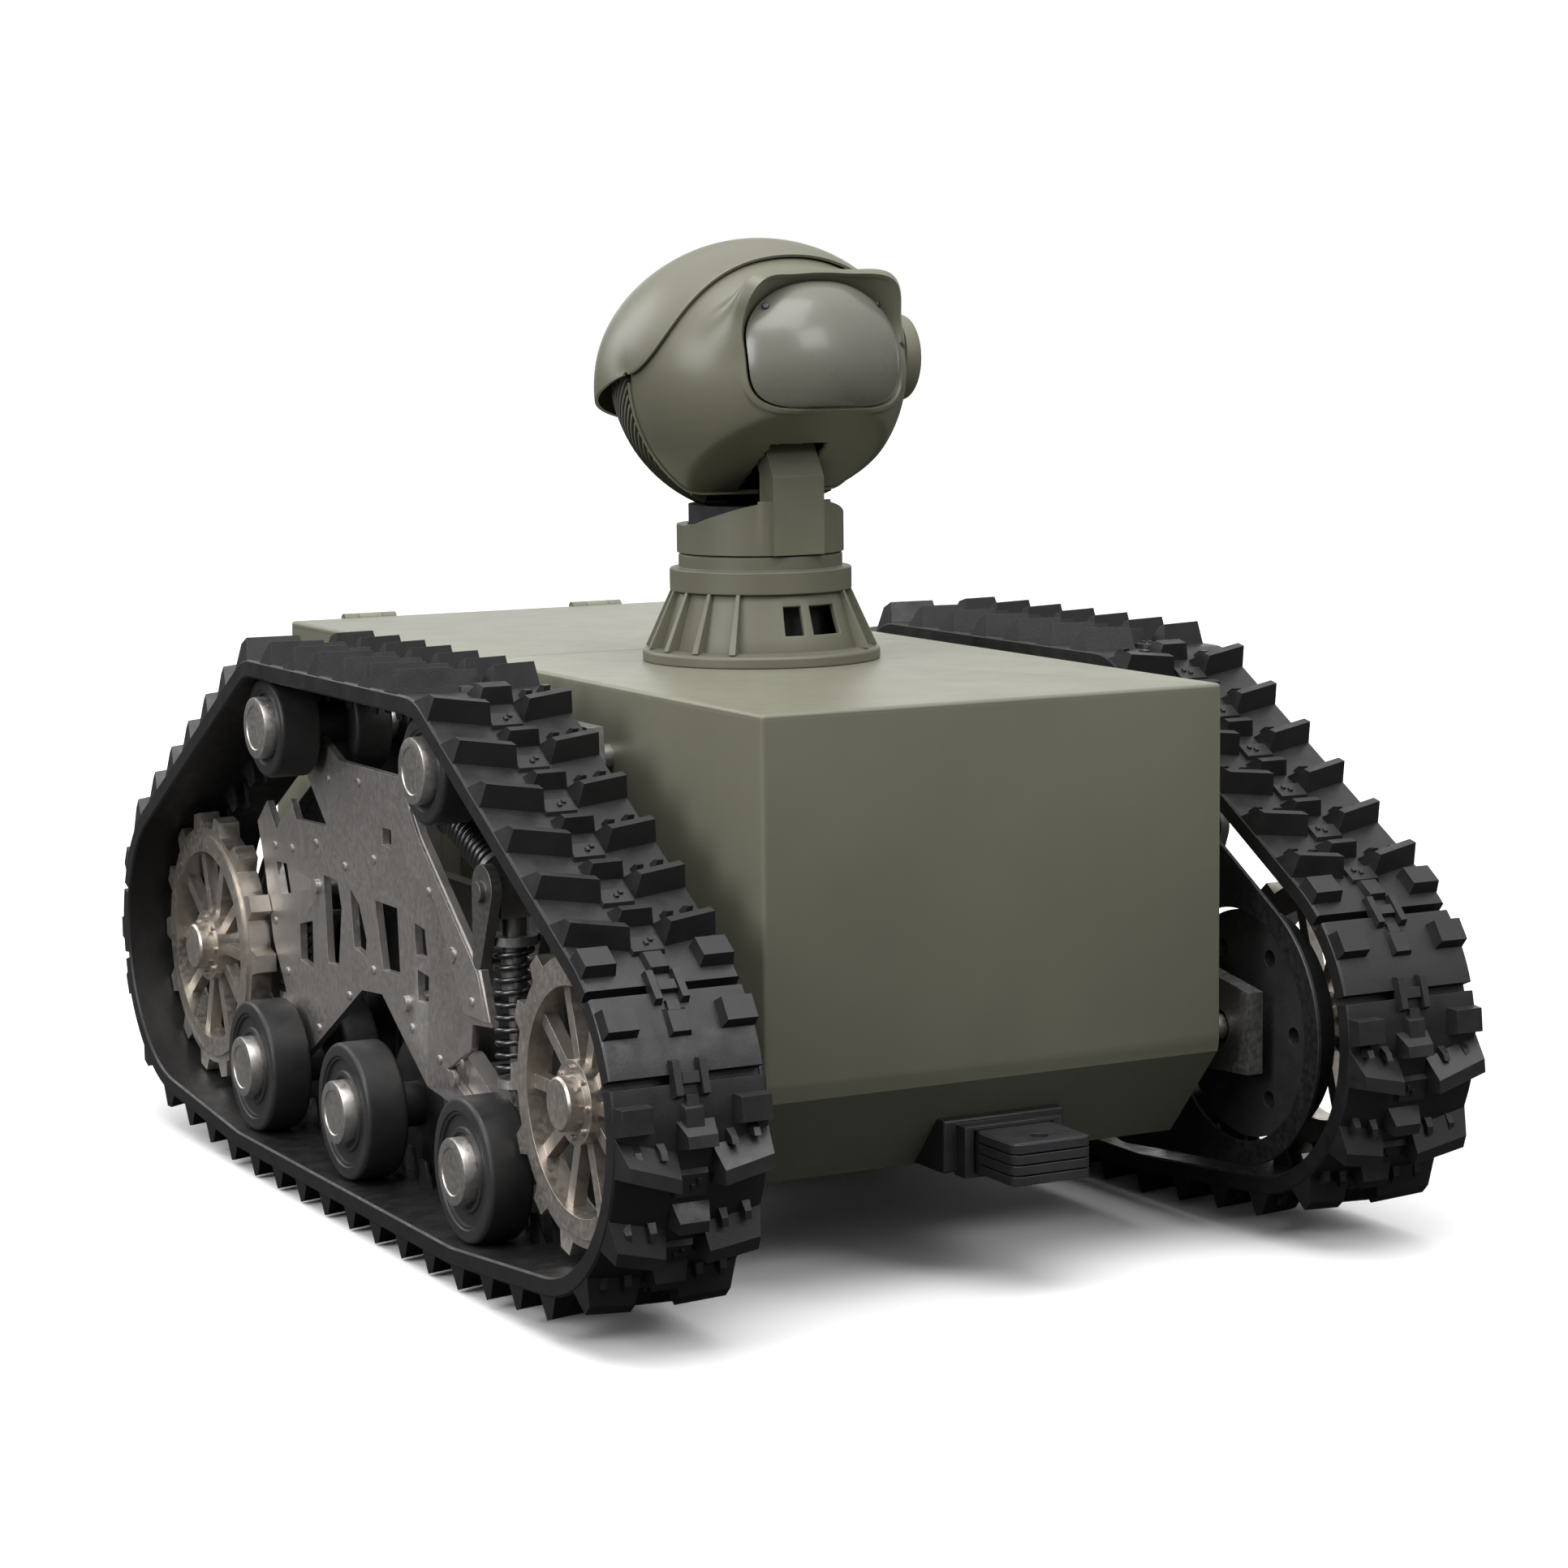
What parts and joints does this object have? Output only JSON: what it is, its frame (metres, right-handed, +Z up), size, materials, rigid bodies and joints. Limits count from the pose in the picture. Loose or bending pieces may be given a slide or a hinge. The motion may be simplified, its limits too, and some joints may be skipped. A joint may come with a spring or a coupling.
{
  "type": "tracked robot chassis",
  "caption": "Tracked robot vehicle: boxy hull between two raised-sprocket rubber tracks, sprung side gear, and a pan and tilt camera head on the deck.",
  "frame": {"origin": "on the ground, on the plane of symmetry, midway between front and rear track ends", "axes": "+Z up, -Y is the direction of travel (the front), +X is the vehicle's own left side"},
  "size_m": [0.638, 0.9449, 0.6843],
  "materials": {
    "olive_paint": "satin powder coat, olive",
    "olive_cast": "satin painted casting, olive",
    "head_paint": "semi-gloss moulded olive shell",
    "window_gloss": "glossy tinted dome",
    "grille_plastic": "dark moulded louvres",
    "track_rubber": "matte moulded rubber",
    "wheel_rubber": "satin black rubber",
    "sprocket_metal": "satin warm grey machined metal",
    "plate_metal": "bead-blasted warm grey plate",
    "frame_metal": "satin dark grey",
    "spring_steel": "black oxide with bright highlights",
    "steel": "turned steel",
    "black_plastic": "fine moulded texture",
    "black_anodised": "black anodised"
  },
  "bodies": {
    "hull": {"hull_tub": "olive_paint", "front_deck": "olive_paint", "hatch_hinge_pins": "steel", "coupler_bracket": "black_plastic", "coupler_tongue": "black_plastic", "battery_pack": "black_plastic", "motor_controller": "black_anodised", "turret_base": "olive_cast", "pan_motor": "black_anodised", "left_drive_motor": "black_anodised", "left_track_belt": "track_rubber", "left_axle_set": "steel", "left_track_frame": "frame_metal", "left_side_plate": "plate_metal", "left_damper_body": "frame_metal", "left_coil_spring": "spring_steel", "left_clevis": "frame_metal", "left_upper_strut": "frame_metal", "left_upper_spring": "spring_steel", "left_rear_strut": "frame_metal", "left_rear_spring": "spring_steel", "right_drive_motor": "black_anodised", "right_track_belt": "track_rubber", "right_axle_set": "steel", "right_track_frame": "frame_metal", "right_side_plate": "plate_metal", "right_damper_body": "frame_metal", "right_coil_spring": "spring_steel", "right_clevis": "frame_metal", "right_upper_strut": "frame_metal", "right_upper_spring": "spring_steel", "right_rear_strut": "frame_metal", "right_rear_spring": "spring_steel"},
    "hatch": {"rear_hatch": "olive_paint"},
    "pan": {"pan_yoke": "olive_cast", "tilt_shaft": "steel"},
    "head": {"head_shell": "head_paint", "head_hood": "head_paint", "camera_window": "window_gloss", "camera_module": "black_anodised", "side_pod": "head_paint", "rear_grille": "grille_plastic"},
    "left_front_sprocket": {"left_front_sprocket": "sprocket_metal"},
    "left_rear_sprocket": {"left_rear_sprocket": "sprocket_metal"},
    "left_middle_road_wheel": {"left_middle_road_wheel": "wheel_rubber"},
    "left_rear_road_wheel": {"left_rear_road_wheel": "wheel_rubber"},
    "left_front_return_roller": {"left_front_return_roller": "wheel_rubber"},
    "left_rear_return_roller": {"left_rear_return_roller": "wheel_rubber"},
    "left_swing_arm": {"left_swing_arm": "plate_metal"},
    "left_front_road_wheel": {"left_front_road_wheel": "wheel_rubber"},
    "left_damper_rod": {"left_damper_rod": "steel"},
    "right_front_sprocket": {"right_front_sprocket": "sprocket_metal"},
    "right_rear_sprocket": {"right_rear_sprocket": "sprocket_metal"},
    "right_middle_road_wheel": {"right_middle_road_wheel": "wheel_rubber"},
    "right_rear_road_wheel": {"right_rear_road_wheel": "wheel_rubber"},
    "right_front_return_roller": {"right_front_return_roller": "wheel_rubber"},
    "right_rear_return_roller": {"right_rear_return_roller": "wheel_rubber"},
    "right_swing_arm": {"right_swing_arm": "plate_metal"},
    "right_front_road_wheel": {"right_front_road_wheel": "wheel_rubber"},
    "right_damper_rod": {"right_damper_rod": "steel"}
  },
  "joints": [
    {"name": "hatch_hinge", "type": "hinge", "parent": "hull", "child": "hatch", "pos_m": [0, 0.4565, 0.384], "axis": [-1, 0, 0], "range_deg": [0, 100]},
    {"name": "turret_pan", "type": "hinge", "parent": "hull", "child": "pan", "pos_m": [0, -0.04, 0.463], "axis": [0, 0, 1], "continuous": true},
    {"name": "head_tilt", "type": "hinge", "parent": "pan", "child": "head", "pos_m": [0, -0.04, 0.59], "axis": [-1, 0, 0], "range_deg": [-10, 25]},
    {"name": "left_front_sprocket_spin", "type": "hinge", "parent": "hull", "child": "left_front_sprocket", "pos_m": [0.28, -0.3375, 0.148], "axis": [1, 0, 0], "continuous": true},
    {"name": "left_rear_sprocket_spin", "type": "hinge", "parent": "hull", "child": "left_rear_sprocket", "pos_m": [0.28, 0.3375, 0.148], "axis": [1, 0, 0], "continuous": true},
    {"name": "left_middle_road_wheel_spin", "type": "hinge", "parent": "hull", "child": "left_middle_road_wheel", "pos_m": [0.27, 0.012, 0.079], "axis": [1, 0, 0], "continuous": true},
    {"name": "left_rear_road_wheel_spin", "type": "hinge", "parent": "hull", "child": "left_rear_road_wheel", "pos_m": [0.27, 0.198, 0.079], "axis": [1, 0, 0], "continuous": true},
    {"name": "left_front_return_roller_spin", "type": "hinge", "parent": "hull", "child": "left_front_return_roller", "pos_m": [0.27, -0.146, 0.337], "axis": [1, 0, 0], "continuous": true},
    {"name": "left_rear_return_roller_spin", "type": "hinge", "parent": "hull", "child": "left_rear_return_roller", "pos_m": [0.27, 0.149, 0.337], "axis": [1, 0, 0], "continuous": true},
    {"name": "left_arm_swing", "type": "hinge", "parent": "hull", "child": "left_swing_arm", "pos_m": [0.259, -0.105, 0.12], "axis": [-1, 0, 0], "range_deg": [0, 2.2], "stiffness_Nm_per_rad": 60},
    {"name": "left_front_road_wheel_spin", "type": "hinge", "parent": "left_swing_arm", "child": "left_front_road_wheel", "pos_m": [0.29, -0.199, 0.079], "axis": [1, 0, 0], "continuous": true},
    {"name": "left_damper_slide", "type": "slide", "parent": "hull", "child": "left_damper_rod", "axis": [0, 0, 1], "range_m": [0, 0.0034], "deforming": ["left_coil_spring"]},
    {"name": "right_front_sprocket_spin", "type": "hinge", "parent": "hull", "child": "right_front_sprocket", "pos_m": [-0.28, -0.3375, 0.148], "axis": [1, 0, 0], "continuous": true},
    {"name": "right_rear_sprocket_spin", "type": "hinge", "parent": "hull", "child": "right_rear_sprocket", "pos_m": [-0.28, 0.3375, 0.148], "axis": [1, 0, 0], "continuous": true},
    {"name": "right_middle_road_wheel_spin", "type": "hinge", "parent": "hull", "child": "right_middle_road_wheel", "pos_m": [-0.27, 0.012, 0.079], "axis": [1, 0, 0], "continuous": true},
    {"name": "right_rear_road_wheel_spin", "type": "hinge", "parent": "hull", "child": "right_rear_road_wheel", "pos_m": [-0.27, 0.198, 0.079], "axis": [1, 0, 0], "continuous": true},
    {"name": "right_front_return_roller_spin", "type": "hinge", "parent": "hull", "child": "right_front_return_roller", "pos_m": [-0.27, -0.146, 0.337], "axis": [1, 0, 0], "continuous": true},
    {"name": "right_rear_return_roller_spin", "type": "hinge", "parent": "hull", "child": "right_rear_return_roller", "pos_m": [-0.27, 0.149, 0.337], "axis": [1, 0, 0], "continuous": true},
    {"name": "right_arm_swing", "type": "hinge", "parent": "hull", "child": "right_swing_arm", "pos_m": [-0.259, -0.105, 0.12], "axis": [-1, 0, 0], "range_deg": [0, 2.2], "stiffness_Nm_per_rad": 60},
    {"name": "right_front_road_wheel_spin", "type": "hinge", "parent": "right_swing_arm", "child": "right_front_road_wheel", "pos_m": [-0.29, -0.199, 0.079], "axis": [1, 0, 0], "continuous": true},
    {"name": "right_damper_slide", "type": "slide", "parent": "hull", "child": "right_damper_rod", "axis": [0, 0, 1], "range_m": [0, 0.0034], "deforming": ["right_coil_spring"]}
  ],
  "couplings": [
    {"joint": "left_rear_sprocket_spin", "follows": "left_front_sprocket_spin", "ratio": 1},
    {"joint": "left_middle_road_wheel_spin", "follows": "left_front_sprocket_spin", "ratio": 2.1429},
    {"joint": "left_rear_road_wheel_spin", "follows": "left_front_sprocket_spin", "ratio": 2.1429},
    {"joint": "left_front_return_roller_spin", "follows": "left_front_sprocket_spin", "ratio": 2.8378},
    {"joint": "left_rear_return_roller_spin", "follows": "left_front_sprocket_spin", "ratio": 2.8378},
    {"joint": "left_front_road_wheel_spin", "follows": "left_front_sprocket_spin", "ratio": 2.1429},
    {"joint": "left_damper_slide", "follows": "left_arm_swing", "m_per_rad": 0.085},
    {"joint": "right_rear_sprocket_spin", "follows": "right_front_sprocket_spin", "ratio": 1},
    {"joint": "right_middle_road_wheel_spin", "follows": "right_front_sprocket_spin", "ratio": 2.1429},
    {"joint": "right_rear_road_wheel_spin", "follows": "right_front_sprocket_spin", "ratio": 2.1429},
    {"joint": "right_front_return_roller_spin", "follows": "right_front_sprocket_spin", "ratio": 2.8378},
    {"joint": "right_rear_return_roller_spin", "follows": "right_front_sprocket_spin", "ratio": 2.8378},
    {"joint": "right_front_road_wheel_spin", "follows": "right_front_sprocket_spin", "ratio": 2.1429},
    {"joint": "right_damper_slide", "follows": "right_arm_swing", "m_per_rad": 0.085}
  ]
}
